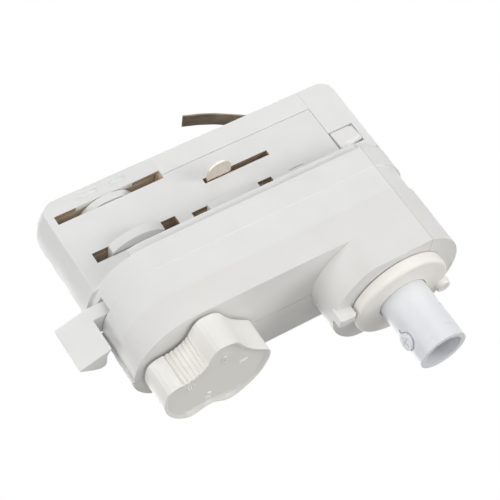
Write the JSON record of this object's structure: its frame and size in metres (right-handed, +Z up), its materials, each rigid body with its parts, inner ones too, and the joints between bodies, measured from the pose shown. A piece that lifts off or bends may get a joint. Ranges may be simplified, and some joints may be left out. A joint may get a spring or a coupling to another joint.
{
  "type": "track light adapter",
  "caption": "Track spotlight adapter with a locking lever, a phase selector knob, side contacts and a swivelling hollow stem.",
  "frame": {"origin": "on the stem's axis, in the seat plane where the rail on top of the case bears on the track", "axes": "+Z up into the track, +X towards the stem end, -Y the side with the neutral contact and the latch"},
  "size_m": [0.112, 0.036, 0.1019],
  "materials": {
    "housing": "fine satin moulded white",
    "latch": "satin warm white",
    "lever": "satin cool white",
    "cam": "satin white",
    "gear": "satin grey",
    "knob": "satin white",
    "stem": "smooth white paint",
    "contact": "tinned, bright",
    "spring_steel": "darkened spring strip",
    "screw": "zinc plated"
  },
  "bodies": {
    "housing": {"body_front": "housing", "body_rear": "housing", "base_front": "housing", "base_rear": "housing", "top_cover": "housing", "end_cap": "housing", "body_screw_left": "screw", "body_screw_right": "screw", "base_screw_left": "screw", "base_screw_right": "screw", "earth_strip": "spring_steel", "earth_screw": "screw", "terminal_block": "latch", "terminal_screw_front": "screw", "terminal_screw_middle": "screw", "terminal_screw_rear": "screw"},
    "lock": {"lock_lever": "lever", "lock_sleeve": "cam", "lock_gear": "gear"},
    "neutral": {"neutral_spindle": "cam", "neutral_gear": "gear", "neutral_spacer": "gear", "neutral_contact": "contact"},
    "selector": {"selector_knob": "knob", "selector_shaft": "cam", "phase_contact_upper": "contact", "phase_contact_lower": "contact"},
    "swivel": {"stem": "stem", "stem_nut": "screw", "stem_collar": "housing", "stem_screw": "screw"},
    "latch": {"latch_block": "latch"}
  },
  "joints": [
    {"name": "lever_turn", "type": "hinge", "parent": "housing", "child": "lock", "pos_m": [-0.0588, 0, 0], "axis": [0, 0, 1], "range_deg": [-90, 0]},
    {"name": "neutral_turn", "type": "hinge", "parent": "housing", "child": "neutral", "pos_m": [-0.0278, 0, 0], "axis": [0, 0, 1], "range_deg": [0, 90]},
    {"name": "selector_turn", "type": "hinge", "parent": "housing", "child": "selector", "pos_m": [-0.0588, 0, 0], "axis": [0, 0, 1], "range_deg": [-90, 90]},
    {"name": "stem_swivel", "type": "hinge", "parent": "housing", "child": "swivel", "pos_m": [0, 0, -0.0385], "axis": [0, 0, 1], "range_deg": [-172, 156]},
    {"name": "latch_push", "type": "slide", "parent": "housing", "child": "latch", "axis": [0, 1, 0], "range_m": [0, 0.0025], "stiffness_N_per_m": 400, "springref_m": -0.0005}
  ],
  "couplings": [
    {"joint": "neutral_turn", "follows": "lever_turn", "ratio": -1}
  ]
}
